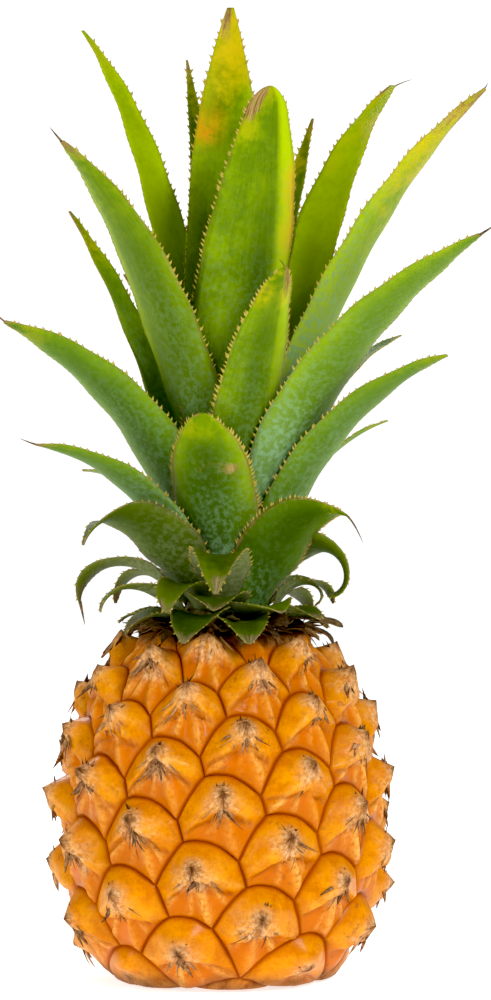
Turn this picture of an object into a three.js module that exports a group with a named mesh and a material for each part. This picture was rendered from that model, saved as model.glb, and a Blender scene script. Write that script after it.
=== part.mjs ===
// A small ripe pineapple with its crown, standing on the flat spot under the fruit.
// Millimetres, +Z up. The origin is the middle of the flat spot.
import * as THREE from "three";

// ---- driving dimensions ----------------------------------------------------------------
const FRUIT_HEIGHT = 92.6; // from the flat spot to the neck under the crown
const FRUIT_RADIUS = 43.3; // over the smooth backs of the fruitlets, at the widest
const WIDEST_AT = 40; // height of the widest ring
const REACH_BELOW = 50; // how far the barrel's curve would run below and above that ring
const REACH_ABOVE = 57;
const BARREL_POWER = 2.3; // 2 is an ellipse, more is boxier
const FRUITLETS = 72;
const DIVERGENCE = 137.84; // degrees between one fruitlet and the next on the spiral
const FIRST_TURN = 24.8; // direction of the topmost fruitlet, degrees from the front
const FRUITLET_AREA = 246; // of the topmost ones, square mm
const FRUITLET_GROWTH = 0.5; // how much larger they get over 80 steps down
const GROOVE_DEPTH = 3.4;
const GROOVE_WIDTH = 4.5;
const BRACT_HEIGHT = 2.8; // the dry point on each fruitlet
const BRACT_RADIUS = 3;
const BRACT_UP = 5; // how far the point sits above the fruitlet's middle

const CROWN_SHIFT = 1.5; // the crown stands a little to the right of the fruit's axis
const STEM_FOOT = FRUIT_HEIGHT + 0.4;
const STEM_TOP = 122; // where its cone would end
const STEM_CUT = 115; // where it really ends, between the feet of the innermost leaves
const STEM_RADIUS = 13.5;
const STEM_TIP_RADIUS = 1.2;
const LEAF_THICKNESS = 0.6; // of a very narrow leaf, and more with its width
const LEAF_THICKENING = 0.035;
const LEAF_GAP = 0.5; // between a leaf's foot and the stem
const LEAF_STATIONS = 8;
const LEAF_COLUMNS = 5;

const RAD = Math.PI / 180;

// ---- materials --------------------------------------------------------------------------
const skin = new THREE.MeshStandardMaterial({ color: 0xd98a1e, roughness: 0.45, metalness: 0 });
const pith = new THREE.MeshStandardMaterial({ color: 0x8a7a44, roughness: 0.8, metalness: 0 });
const green = new THREE.MeshStandardMaterial({ color: 0x5f8f1f, roughness: 0.5, metalness: 0 });
const silver = new THREE.MeshStandardMaterial({ color: 0x6f9a68, roughness: 0.6, metalness: 0 });
const dry = new THREE.MeshStandardMaterial({ color: 0x77663a, roughness: 0.85, metalness: 0 });

// ---- leaves -----------------------------------------------------------------------------
// One row per leaf. turn: direction it grows in, degrees from the front, + to the right.
// foot: height of its foot. lean: angle from upright at the foot. bend: how much more it
// leans by the tip. hook: extra curl near the tip. long, wide: its size. roll: turn about
// its own middle line, which shows more of the upper face. sway: change of turn by the tip.
// blunt: width left at the tip, as a share of the width.
const TALL = [
  // turn, foot, lean, bend, hook, long, wide, roll, sway, blunt
  [-176, 121, 4, 6, 0, 139, 23, 0, -14, 0.07],
  [25, 118, 6, 15, -14, 119, 26, 0, 2, 0.24],
  [21, 112, 13, 14, 20, 84, 15, -6, 3, 0.16],
  [-129, 114.5, 6, 15, 21, 148, 18, -14, 2, 0.07],
  [-55, 112, 4, 33, 12, 120, 19, -9, 1, 0.07],
  [-108, 108.5, 10, 20, 5, 103, 13, -8, -1, 0.07],
  [129, 113.5, 16, 1, 32, 138, 20, 8, 1, 0.1],
  [94, 110.5, 11, 26, 11, 142, 20, 11, -1, 0.07],
  [-161, 118, 7, 8, 7, 131, 9, 0, 2, 0.07],
  [142, 116.5, 10, 12, 0, 118, 12, 0, -2, 0.07],
];
const SPREADING = [
  [-14, 104.5, 15, 6, 14, 49, 24, 1, 1, 0.5],
  [-69, 106.5, 6, 66, -4, 90, 21, -26, 1, 0.07],
  [-62, 102, 12, 75, -6, 64, 17, -12, 0, 0.07],
  [57, 107.5, 9, 61, -8, 116, 22, 18, 0, 0.07],
  [70, 103, 10, 57, 4, 84, 18, 20, 0, 0.07],
  [117, 103, 10, 60, 3, 62, 12, 14, 0, 0.07],
  [37, 97.5, 7, 88, 12, 50, 18, 32, 7, 0.08],
  // at the back
  [180, 108.5, 14, 44, -2, 88, 17, -1, -4, 0.07],
  [-151, 111, 10, 47, 9, 98, 12, -4, -2, 0.07],
  [137, 105.5, 13, 60, 0, 94, 13, 1, 0, 0.07],
  [127, 107.5, 14, 37, 2, 96, 8, -1, -1, 0.07],
  [-134, 102.5, 20, 68, 3, 58, 16, -2, 0, 0.07],
  [-172, 104.5, 15, 64, 0, 63, 17, 0, 0, 0.07],
  [160, 100.5, 18, 70, 0, 61, 16, 0, 0, 0.07],
];
const CURLED = [
  [-50, 100.5, 21, 70, 68, 51, 18, -24, 5, 0.07],
  [-98, 97.5, 20, 116, 58, 39, 12, -14, -6, 0.07],
  [-61, 96.5, 44, 60, 70, 30, 10, -10, 3, 0.07],
  [64, 100.5, 4, 150, 120, 43, 17, 25, -1, 0.08],
  [83, 97, 14, 96, 120, 20, 9, 10, 0, 0.07],
  [-5, 99.5, 19, 114, 36, 42, 13, 2, 4, 0.08],
  [-31, 98.5, 24, 120, 40, 24, 12, 0, 0, 0.08],
  [-6, 97.5, 46, 76, 2, 20, 12, 0, 0, 0.08],
  [26, 96, 56, 52, 0, 20, 12, -2, 0, 0.08],
  [-18, 95.5, 68, 60, 20, 24, 11, 0, 0, 0.08],
  [10, 94.8, 74, 46, 20, 22, 11, 0, 0, 0.08],
  [54, 95, 52, 60, 20, 18, 10, 0, 0, 0.08],
  [80, 94.8, 60, 60, 30, 14, 6, 0, 0, 0.08],
  [-66, 94.8, 62, 70, 20, 17, 11, 0, 0, 0.08],
  // at the back
  [115, 99.5, 40, 90, 40, 24, 11, 0, 0, 0.08],
  [140, 97, 50, 80, 30, 26, 12, 0, 0, 0.08],
  [168, 98.5, 36, 90, 40, 34, 13, 3, 0, 0.08],
  [-160, 96.5, 46, 80, 30, 32, 15, 0, 0, 0.08],
  [-130, 98, 36, 90, 50, 34, 12, 3, 0, 0.08],
  [-104, 94.8, 64, 50, 20, 17, 10, 0, 0, 0.08],
  [-140, 94.8, 70, 50, 20, 20, 11, 0, 0, 0.08],
  [-176, 94.8, 70, 50, 20, 22, 11, 0, 0, 0.08],
  [152, 94.8, 68, 56, 20, 20, 11, -1, 0, 0.08],
  [118, 94.8, 70, 50, 20, 18, 11, 0, 0, 0.08],
];

// ---- curves -----------------------------------------------------------------------------
const lerp = (a, b, t) => a + (b - a) * t;
function smooth(a, b, x) {
  const t = Math.min(1, Math.max(0, (x - a) / (b - a)));
  return t * t * (3 - 2 * t);
}

// Radius of the barrel at height z, a superellipse that is longer above the widest ring.
function barrel(z) {
  const t = Math.abs(z - WIDEST_AT) / (z < WIDEST_AT ? REACH_BELOW : REACH_ABOVE);
  return FRUIT_RADIUS * Math.pow(1 - Math.pow(t, BARREL_POWER), 1 / BARREL_POWER);
}

// The barrel's outline from the neck down, with the distance along it and the skin's area
// above each point, so that fruitlets can be placed by area.
function outline(steps) {
  const points = [];
  let along = 0;
  let area = 0;
  for (let k = 0; k <= steps; k++) {
    const z = FRUIT_HEIGHT * (1 - k / steps);
    const r = barrel(z);
    if (k > 0) {
      const last = points[k - 1];
      const step = Math.hypot(r - last.r, z - last.z);
      along += step;
      area += Math.PI * (r + last.r) * step;
    }
    points.push({ z, r, along, area });
  }
  return points;
}
const OUTLINE = outline(600);
const LENGTH = OUTLINE.at(-1).along;

function onOutline(key, value) {
  const k = Math.max(1, OUTLINE.findIndex((p) => p[key] >= value));
  const a = OUTLINE[k - 1];
  const b = OUTLINE[k];
  const t = (value - a[key]) / (b[key] - a[key]);
  return { z: lerp(a.z, b.z, t), r: lerp(a.r, b.r, t), along: lerp(a.along, b.along, t) };
}

// ---- fruit ------------------------------------------------------------------------------
// Fruitlet i sits where the skin above it holds i fruitlets, one divergence angle further on.
function fruitletPlaces() {
  const places = [];
  for (let i = 0; i < FRUITLETS; i++) {
    const area = FRUITLET_AREA * (i + (FRUITLET_GROWTH * i * i) / 80);
    if (area > OUTLINE.at(-1).area) break;
    const { along, r } = onOutline("area", area);
    places.push({ turn: (FIRST_TURN + DIVERGENCE * i) * RAD, along, r });
  }
  return places;
}
const PLACES = fruitletPlaces();

// Height of the skin over the barrel: a groove where two fruitlets are equally near, a
// point a little above each fruitlet's middle, nothing at the neck and the flat spot.
function relief(turn, along, r) {
  let nearest = Infinity;
  let second = Infinity;
  let point = Infinity;
  for (const p of PLACES) {
    const dx = Math.atan2(Math.sin(turn - p.turn), Math.cos(turn - p.turn)) * r;
    const dy = along - p.along;
    const d = Math.hypot(dx, dy);
    point = Math.min(point, Math.hypot(dx, dy + BRACT_UP));
    second = Math.min(second, Math.max(d, nearest));
    nearest = Math.min(nearest, d);
  }
  const groove = 1 - smooth(0, GROOVE_WIDTH, second - nearest);
  const bract = Math.exp(-((point / BRACT_RADIUS) ** 2));
  const ends = smooth(0, 5, along) * smooth(0, 5, LENGTH - along);
  return ends * (BRACT_HEIGHT * bract - GROOVE_DEPTH * groove);
}

function closedSurface(rings, name, material) {
  // rings: closed loops of the same length, foot first, counter-clockwise from outside;
  // the first and last are capped by a fan about their middle.
  const n = rings[0].length;
  const position = rings.flat(2);
  const index = [];
  for (let k = 0; k + 1 < rings.length; k++)
    for (let j = 0; j < n; j++) {
      const a = k * n + j;
      const b = k * n + ((j + 1) % n);
      index.push(a, b, b + n, a, b + n, a + n);
    }
  for (const [k, turn] of [[0, -1], [rings.length - 1, 1]]) {
    const middle = position.length / 3;
    const ring = rings[k];
    for (let c = 0; c < 3; c++) position.push(ring.reduce((s, p) => s + p[c], 0) / n);
    for (let j = 0; j < n; j++) {
      const a = k * n + j;
      const b = k * n + ((j + 1) % n);
      index.push(middle, turn > 0 ? a : b, turn > 0 ? b : a);
    }
  }
  const geometry = new THREE.BufferGeometry();
  geometry.setAttribute("position", new THREE.Float32BufferAttribute(position, 3));
  geometry.setIndex(index);
  geometry.computeVertexNormals();
  const mesh = new THREE.Mesh(geometry, material);
  mesh.name = name;
  return mesh;
}

function fruit() {
  const around = 84;
  const down = 27;
  const rings = [];
  for (let k = 0; k <= down; k++) {
    const along = LENGTH * (1 - k / down);
    const here = onOutline("along", along);
    const near = onOutline("along", Math.min(LENGTH, along + 0.5));
    const slope = Math.atan2(near.r - here.r, here.z - near.z);
    const ring = [];
    for (let j = 0; j < around; j++) {
      const turn = (2 * Math.PI * j) / around;
      const h = relief(turn, along, here.r);
      const r = here.r + h * Math.cos(slope);
      const z = k === 0 ? 0 : here.z + h * Math.sin(slope);
      ring.push([r * Math.sin(turn), -r * Math.cos(turn), z]);
    }
    rings.push(ring);
  }
  return closedSurface(rings, "fruit", skin);
}

// ---- crown ------------------------------------------------------------------------------
function stemRadius(z) {
  return lerp(STEM_RADIUS, STEM_TIP_RADIUS, (z - STEM_FOOT) / (STEM_TOP - STEM_FOOT));
}

function crownStem() {
  const outlinePoints = [
    new THREE.Vector2(0, STEM_FOOT),
    new THREE.Vector2(STEM_RADIUS, STEM_FOOT),
    new THREE.Vector2(stemRadius(STEM_CUT), STEM_CUT),
    new THREE.Vector2(0, STEM_CUT + 1),
  ];
  const geometry = new THREE.LatheGeometry(outlinePoints, 16);
  geometry.rotateX(Math.PI / 2);
  const mesh = new THREE.Mesh(geometry, pith);
  mesh.name = "crown_stem";
  return mesh;
}

// A leaf is a blade swept along a line that leans out from the stem. Its section is a shallow
// gutter that wraps the stem near the foot and flattens towards the tip.
function leaf(row, name, material) {
  const [turn, foot, lean, bend, hook, long, wide, roll, sway, blunt] = row;
  const steps = 48;
  const at = new THREE.Vector3();
  const full = LEAF_THICKNESS + LEAF_THICKENING * wide;
  const first = stemRadius(foot) + LEAF_GAP + full / 2;
  at.set(first * Math.sin(turn * RAD), -first * Math.cos(turn * RAD), foot);
  const rings = [];
  const every = steps / (LEAF_STATIONS - 1);
  for (let k = 0; k <= steps; k++) {
    const t = k / steps;
    const out = (lean + bend * t + hook * t ** 4) * RAD;
    const way = (turn + sway * t) * RAD;
    const along = new THREE.Vector3(
      Math.sin(out) * Math.sin(way),
      -Math.sin(out) * Math.cos(way),
      Math.cos(out),
    );
    if (Math.floor(k / every) > Math.floor((k - 1) / every + 1e-9))
      rings.push(section(at, along, way, out, t));
    at.addScaledVector(along, long / steps);
  }
  return closedSurface(rings, name, material);

  function section(middle, along, way, out, t) {
    const across = new THREE.Vector3(Math.cos(way), Math.sin(way), 0);
    across.applyAxisAngle(along, -roll * RAD * smooth(0, 0.35, t));
    const inward = new THREE.Vector3().crossVectors(along, across);
    const taper = lerp(1, blunt, t ** 3.2);
    const half = (wide / 2) * lerp(0.5, 1, smooth(0, 0.32, t)) * taper;
    const fromAxis = Math.max(3, Math.hypot(middle.x, middle.y));
    const wrap = Math.min(1.05, half / fromAxis) * Math.max(0, Math.cos(out));
    const gutter = Math.max(wrap, lerp(0.62, 0.4, t));
    const faces = [[], []];
    for (let c = 0; c < LEAF_COLUMNS; c++) {
      const u = lerp(-1, 1, c / (LEAF_COLUMNS - 1));
      const x = (half * Math.sin(gutter * u)) / gutter;
      const y = (half * (1 - Math.cos(gutter * u))) / gutter;
      const thick = (full / 2) * lerp(1, 0.45, u * u) * lerp(1, 0.6, t);
      for (const side of [0, 1]) {
        const s = side ? thick : -thick;
        const p = middle
          .clone()
          .addScaledVector(across, x - s * Math.sin(gutter * u))
          .addScaledVector(inward, y + s * Math.cos(gutter * u));
        faces[side].push(p.toArray());
      }
    }
    return [...faces[0], ...faces[1].reverse()];
  }
}

function crown() {
  const group = new THREE.Group();
  group.name = "crown";
  group.position.x = CROWN_SHIFT;
  group.add(crownStem());
  const kinds = [
    ["leaf_tall", TALL, green],
    ["leaf_spreading", SPREADING, silver],
    ["leaf_curled", CURLED, dry],
  ];
  for (const [name, rows, material] of kinds)
    rows.forEach((row, i) => {
      const number = String(i + 1).padStart(2, "0");
      group.add(leaf(row, name + "_" + number, material));
    });
  return group;
}

const pineapple = new THREE.Group();
pineapple.name = "pineapple";
pineapple.add(fruit(), crown());

export default pineapple;
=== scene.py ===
"""A small pineapple standing on its base: the skin of fruitlets with their dry points, the
leaves of the crown with their spines, and the dry bracts at the neck. Lengths are in
millimetres up to the last step, where a mesh is written in metres."""

import itertools
import math

import bpy
import numpy as np
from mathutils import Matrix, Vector


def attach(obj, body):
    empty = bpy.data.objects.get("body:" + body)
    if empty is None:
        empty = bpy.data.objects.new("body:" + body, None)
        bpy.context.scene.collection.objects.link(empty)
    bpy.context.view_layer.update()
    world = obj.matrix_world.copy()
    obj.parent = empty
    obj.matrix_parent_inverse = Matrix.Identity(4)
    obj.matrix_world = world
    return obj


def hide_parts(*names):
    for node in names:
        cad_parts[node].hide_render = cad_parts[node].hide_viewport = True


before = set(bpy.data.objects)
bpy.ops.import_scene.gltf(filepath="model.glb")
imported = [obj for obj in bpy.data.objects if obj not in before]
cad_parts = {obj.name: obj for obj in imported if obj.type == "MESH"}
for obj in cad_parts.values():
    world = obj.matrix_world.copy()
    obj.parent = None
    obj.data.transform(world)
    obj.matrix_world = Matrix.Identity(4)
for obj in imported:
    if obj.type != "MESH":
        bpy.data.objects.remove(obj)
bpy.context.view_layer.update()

MM = 0.001
BODY = "root"

# The fruit: a barrel that is longer above its widest ring, and the spiral of its fruitlets.
FRUIT_HEIGHT = 92.6
FRUIT_RADIUS = 43.3
WIDEST_AT = 40.0
REACH_BELOW, REACH_ABOVE = 50.0, 57.0
BARREL_POWER = 2.3
DIVERGENCE = 137.84
FIRST_TURN = 24.8
FRUITLET_AREA = 246.0
FRUITLET_GROWTH = 0.5
GHOSTS_ABOVE = 5  # bract scars on the cap that the crown hides
MOST_FRUITLETS = 90
NECK_CLEAR, BASE_CLEAR = 40.0, 150.0  # no site where less of the skin's area is left than this
PLAIN_BASE = 22.0  # sites within this of the base's middle are flat
POINT_UP = 5.5  # how far the dry point sits above the middle of its fruitlet
EDGE_STEPS = 10  # samples along one side of a fruitlet
GROOVE_DEPTH = 2.3
SINK = 1.3  # the cushions' edges lie this far inside the barrel that their backs touch
CUSHION_WIDTH = 4.2  # how far in from the groove the skin is still rounding over
ARCH = 0.15  # rise of the arch between two fruitlets, as a share of its level width
FAN_TURN, FAN_REACH, FAN_STEP = 7.0, 0.35, 31.7  # the skin's UV map round each dry point
FIBRES_PER_POINT = 19
STANDING_FIBRES = 8  # how many of them stand out instead of lying over the scar
LOWEST_FIBRE = 6.5  # their starts stay this far above the flat base

# The crown, as the leaf rows below use it.
CROWN_SHIFT = 1.5
STEM_FOOT = 93.0
STEM_TOP = 122.0
STEM_CUT = 115.0
STEM_RADIUS = 13.5
STEM_TIP_RADIUS = 1.2
LEAF_THICKNESS = 0.6
LEAF_THICKENING = 0.035
LEAF_GAP = 0.5
LEAF_STEPS = 480  # steps along a leaf's middle line
FEWEST_STATIONS, MOST_STATIONS, STATIONS_PER_MM = 30, 76, 0.62
STEM_RINGS, STEM_AROUND = 60, 96
BRACTS = 54
NECK_FIBRES = 150
BRACT_FEET = [93.0, 92.9, 94.2]  # heights of the three rings of dead bracts
BRACT_SHIFTS = [3.5, 5.5, 1.5]  # how much further out than the stem each ring starts
TURN = 2 * np.pi

# Room, lamps and camera, in metres and watts.
LAMPS = [
    # name, place, aimed at the height, size, power
    ("key", (0.62, -0.95, 0.78), 0.12, 0.36, 9.0),
    ("fill", (-0.9, -0.7, 0.40), 0.12, 0.5, 2.8),
    ("rim", (-0.35, 0.95, 0.8), 0.15, 0.5, 5.0),
]
ROOM_LIGHT, ROOM_SEEN = 0.36, 1.15  # the white room as a light, and as the camera sees it
FLOOR_RADIUS = 3000.0
FLOOR_DROP = 0.02
FLOOR_GLOW = 0.72
CAMERA_AWAY = 1.1
CAMERA_RISE = 1.5
CAMERA_TARGET = (0.00649, 0.0, 0.127)
CAMERA_LENS = 149.4
BLACK_LEVEL = 0.012


# ---- curves and noise -------------------------------------------------------------------
def lerp(a, b, t):
    """a at t = 0, b at t = 1, a straight line between."""
    return a + (b - a) * t


def smooth(a, b, x):
    """0 below a, 1 above b, and 3t^2 - 2t^3 between."""
    t = np.clip((x - a) / (b - a), 0.0, 1.0)
    return t * t * (3 - 2 * t)


def unit(v):
    """Each row divided by its length."""
    return v / np.maximum(np.linalg.norm(v, axis=-1, keepdims=True), 1e-12)


LATTICE = np.random.default_rng(7).uniform(-1, 1, (32, 32, 32))


def noise(points, size):
    """Smooth value noise from -1 to 1 with lumps about `size` across: the eight corners of
    the lattice cell that a point lies in, mixed by 3t^2 - 2t^3 along each axis."""
    p = np.asarray(points) / size
    cell = np.floor(p).astype(int)
    t = p - cell
    t = t * t * (3 - 2 * t)
    total = np.zeros(p.shape[:-1])
    for corner in itertools.product((0, 1), repeat=3):
        c = (cell + corner) % 32
        weight = np.prod(np.where(corner, t, 1 - t), axis=-1)
        total += weight * LATTICE[c[..., 0], c[..., 1], c[..., 2]]
    return total


# ---- meshes -----------------------------------------------------------------------------
def add_piece(name, points, faces, finish, marks, uv, stands_for=None):
    """One closed piece: points in millimetres, faces as a list of whole arrays of corners
    (one row a face), and marks as numbers that the finish reads at each point."""
    mesh = bpy.data.meshes.new(name)
    corners = np.concatenate([f.ravel() for f in faces]).astype(np.int32)
    sizes = np.concatenate([np.full(len(f), f.shape[1]) for f in faces])
    starts = np.concatenate([[0], np.cumsum(sizes)[:-1]]).astype(np.int32)
    mesh.vertices.add(len(points))
    mesh.vertices.foreach_set("co", (np.asarray(points) * MM).astype(np.float32).ravel())
    mesh.loops.add(len(corners))
    mesh.loops.foreach_set("vertex_index", corners)
    mesh.polygons.add(len(sizes))
    mesh.polygons.foreach_set("loop_start", starts)
    mesh.update(calc_edges=True)
    mesh.polygons.foreach_set("use_smooth", np.ones(len(sizes), bool))
    for key, values in marks.items():
        layer = mesh.attributes.new(key, "FLOAT", "POINT")
        layer.data.foreach_set("value", np.asarray(values, np.float32).ravel())
    layer = mesh.uv_layers.new(name="UVMap")
    layer.data.foreach_set("uv", np.asarray(uv, np.float32).ravel())
    mesh.validate()
    piece = bpy.data.objects.new(name, mesh)
    bpy.context.scene.collection.objects.link(piece)
    mesh.materials.append(finish)
    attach(piece, BODY)
    if stands_for:
        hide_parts(stands_for)


def loft_faces(rings, around, first=0):
    """Quads between closed loops of `around` points that follow each other in the point
    list, foot first and counter-clockwise from outside."""
    k, j = np.meshgrid(np.arange(rings - 1), np.arange(around), indexing="ij")
    a = first + k * around + j
    b = first + k * around + (j + 1) % around
    return np.stack([a, b, b + around, a + around], -1).reshape(-1, 4)


# ---- node tools -------------------------------------------------------------------------
def node(tree, kind, settings=None, **inputs):
    """A node of that kind. settings are its own properties; each input is a number, a
    colour, or another node's output."""
    made = tree.nodes.new("ShaderNode" + kind)
    for key, value in (settings or {}).items():
        setattr(made, key, value)
    for key, value in inputs.items():
        socket = made.inputs[int(key[1:]) if key[0] == "_" else key.replace("_", " ")]
        if isinstance(value, bpy.types.NodeSocket):
            tree.links.new(value, socket)
        elif isinstance(value, tuple) and len(value) == 3 and socket.type == "RGBA":
            socket.default_value = (*value, 1)
        else:
            socket.default_value = value
    return made


def mark(tree, name):
    """A number that the piece's points carry."""
    return node(tree, "Attribute", {"attribute_name": name}).outputs["Fac"]


def math_node(tree, operation, a, b, clamp=False):
    settings = {"operation": operation, "use_clamp": clamp}
    return node(tree, "Math", settings, _0=a, _1=b).outputs[0]


def times(tree, a, b, clamp=False):
    return math_node(tree, "MULTIPLY", a, b, clamp)


def plus(tree, a, b, clamp=False):
    return math_node(tree, "ADD", a, b, clamp)


def mix(tree, share, a, b):
    """Colour a where share is 0, b where it is 1."""
    made = node(tree, "Mix", {"data_type": "RGBA"}, _0=share)
    for index, value in ((6, a), (7, b)):
        if isinstance(value, bpy.types.NodeSocket):
            tree.links.new(value, made.inputs[index])
        else:
            made.inputs[index].default_value = (*value, 1)
    return made.outputs[2]


def window(tree, value, low, high, to_low=0.0, to_high=1.0):
    """A number stretched so that low becomes to_low and high becomes to_high, held there
    outside."""
    return node(
        tree, "MapRange", {"interpolation_type": "SMOOTHSTEP"},
        _0=value, _1=low, _2=high, _3=to_low, _4=to_high,
    ).outputs[0]


def group(name, inputs, outputs):
    """An empty shader group with those inputs (name: number) and outputs (name: kind)."""
    tree = bpy.data.node_groups.new(name, "ShaderNodeTree")
    for key, value in inputs.items():
        kind = "NodeSocketVector" if value is None else "NodeSocketFloat"
        socket = tree.interface.new_socket(key, in_out="INPUT", socket_type=kind)
        if value is not None:
            socket.default_value = value
    for key, kind in outputs.items():
        tree.interface.new_socket(key, in_out="OUTPUT", socket_type="NodeSocket" + kind)
    given = tree.nodes.new("NodeGroupInput").outputs
    return tree, given, tree.nodes.new("NodeGroupOutput").inputs


def use(tree, shared, **inputs):
    """The outputs of a shared group, fed with those inputs."""
    made = tree.nodes.new("ShaderNodeGroup")
    made.node_tree = shared
    for key, value in inputs.items():
        socket = made.inputs[key.replace("_", " ")]
        if isinstance(value, bpy.types.NodeSocket):
            tree.links.new(value, socket)
        else:
            socket.default_value = value
    return made.outputs


def grain_group():
    """Even natural grain: a coarse and a fine noise on the given place, and their sum."""
    tree, given, out = group(
        "grain", {"Place": None, "Size": 1.0, "Roughness": 0.6},
        {"Coarse": "Float", "Fine": "Float", "Both": "Float"},
    )
    scale = math_node(tree, "DIVIDE", 1000.0, given["Size"])
    coarse = node(tree, "TexNoise", Vector=given["Place"], Scale=scale, Detail=3.0,
                  Roughness=given["Roughness"]).outputs[0]
    finer = times(tree, scale, 5.3)
    fine = node(tree, "TexNoise", Vector=given["Place"], Scale=finer, Detail=3.0,
                Roughness=given["Roughness"]).outputs[0]
    tree.links.new(coarse, out["Coarse"])
    tree.links.new(fine, out["Fine"])
    both = plus(tree, times(tree, coarse, 0.65), times(tree, fine, 0.35))
    tree.links.new(both, out["Both"])
    return tree


def specks_group():
    """Small scattered flecks: 1 inside a fleck, 0 outside, more of them as Amount grows."""
    tree, given, out = group(
        "specks", {"Place": None, "Size": 1.0, "Amount": 0.3}, {"Mask": "Float"},
    )
    scale = math_node(tree, "DIVIDE", 1000.0, given["Size"])
    lump = node(tree, "TexNoise", Vector=given["Place"], Scale=scale, Detail=5.0,
                Roughness=0.72, Distortion=0.4).outputs[0]
    low = math_node(tree, "SUBTRACT", 0.72, times(tree, given["Amount"], 0.45))
    over = math_node(tree, "SUBTRACT", lump, low)
    tree.links.new(times(tree, over, 14.0, clamp=True), out["Mask"])
    return tree


def streaks_group():
    """Fine lines that run along a blade: noise on (across, along) of the blade's own UV map,
    drawn out along it."""
    tree, given, out = group(
        "streaks", {"Map": None, "Fineness": 60.0}, {"Line": "Float"},
    )
    across = node(tree, "SeparateXYZ", _0=given["Map"]).outputs
    x = times(tree, across[0], given["Fineness"])
    y = times(tree, across[1], 5.0)
    place = node(tree, "CombineXYZ", _0=x, _1=y).outputs[0]
    line = node(tree, "TexNoise", Vector=place, Scale=1.0, Detail=3.0, Roughness=0.6).outputs[0]
    tree.links.new(line, out["Line"])
    return tree


GRAIN, SPECKS, STREAKS = grain_group(), specks_group(), streaks_group()


def start_material(name):
    """A material with its Principled shader, and the object coordinates and UV map."""
    made = bpy.data.materials.new(name)
    made.use_nodes = True
    tree = made.node_tree
    shader = tree.nodes["Principled BSDF"]
    where = node(tree, "TexCoord").outputs
    return made, tree, shader, where["Object"], where["UV"]


def finish_with(tree, shader, colour, rough, height, depth, strength=1.0):
    """Colour, roughness and a bump of `depth` metres from the height."""
    tree.links.new(colour, shader.inputs["Base Color"])
    tree.links.new(rough, shader.inputs["Roughness"])
    bump = node(tree, "Bump", Height=height, Distance=depth, Strength=strength)
    tree.links.new(bump.outputs["Normal"], shader.inputs["Normal"])


# ---- finishes ---------------------------------------------------------------------------
def fruit_skin():
    """Waxy yellow-orange domes, rich orange tails with painted shade in their hollows, red-brown
    grooves with painted shade along them, a painted shadow under each dome's rim, paler ridges,
    pale torn scars and dark dry points, each where the piece's own marks say."""

    made, tree, shader, place, uv = start_material("fruit_skin")
    grain = use(tree, GRAIN, Place=place, Size=4.2)
    fine = use(tree, GRAIN, Place=place, Size=1.1)

    def grained(noise_value, low, high, dark, pale):
        """From dark to pale as the noise goes from low to high."""
        return mix(tree, window(tree, noise_value, low, high), dark, pale)

    dome = grained(grain["Both"], 0.36, 0.64, (0.66, 0.205, 0.001), (0.85, 0.335, 0.003))
    colour = grained(grain["Both"], 0.35, 0.62, (0.62, 0.155, 0.001), (0.80, 0.27, 0.003))
    # paler along the tail's ridges
    paler_ridges = times(tree, mark(tree, "ridge"), window(tree, fine["Coarse"], 0.3, 0.6))
    fleck = use(tree, SPECKS, Place=place, Size=2.6, Amount=0.34)["Mask"]
    for share, over in (
        (mark(tree, "dome"), dome),
        # rich orange on the tail, with painted shade in its hollows
        (mark(tree, "deep"), (0.66, 0.165, 0.001)),
        # painted shade: darker towards each groove
        (mark(tree, "shade"), (0.48, 0.115, 0.001)),
        (mark(tree, "blush"), (0.80, 0.36, 0.12)),
        (paler_ridges, (0.92, 0.50, 0.10)),
        # painted shadow under the dome's rim
        (mark(tree, "fold"), (0.40, 0.10, 0.003)),
        (mark(tree, "groove"), (0.42, 0.082, 0.002)),
        (times(tree, fleck, mark(tree, "freckle")), (0.33, 0.10, 0.02)),
    ):
        colour = mix(tree, share, colour, over)
    fibre = node(tree, "TexNoise", Vector=uv, Scale=1.0, Detail=4.0, Roughness=0.7).outputs[0]
    scar = times(tree, mark(tree, "scar"), window(tree, fibre, 0.36, 0.52), clamp=True)
    torn = grained(fine["Both"], 0.38, 0.6, (0.42, 0.17, 0.05), (0.86, 0.52, 0.24))
    colour = mix(tree, scar, colour, torn)
    slit = times(tree, mark(tree, "slit"), window(tree, fibre, 0.62, 0.40), clamp=True)
    colour = mix(tree, slit, colour, (0.17, 0.05, 0.012))
    dry = grained(fine["Coarse"], 0.35, 0.62, (0.060, 0.020, 0.008), (0.24, 0.095, 0.035))
    colour = mix(tree, mark(tree, "dry"), colour, dry)
    ends = grained(grain["Both"], 0.35, 0.6, (0.10, 0.035, 0.010), (0.30, 0.13, 0.04))
    colour = mix(tree, mark(tree, "ends"), colour, ends)
    rough = plus(tree, times(tree, mark(tree, "dull"), 0.42),
                 window(tree, grain["Fine"], 0.3, 0.7, 0.27, 0.42))
    torn_height = times(tree, times(tree, fibre, 1.6), mark(tree, "dull"))
    height = plus(tree, times(tree, fine["Both"], 0.4), torn_height)
    finish_with(tree, shader, colour, rough, height, 0.0004, 0.55)
    shader.inputs["Specular IOR Level"].default_value = 0.10
    shader.inputs["Coat Weight"].default_value = 0.09
    shader.inputs["Coat Roughness"].default_value = 0.16
    return made


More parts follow.
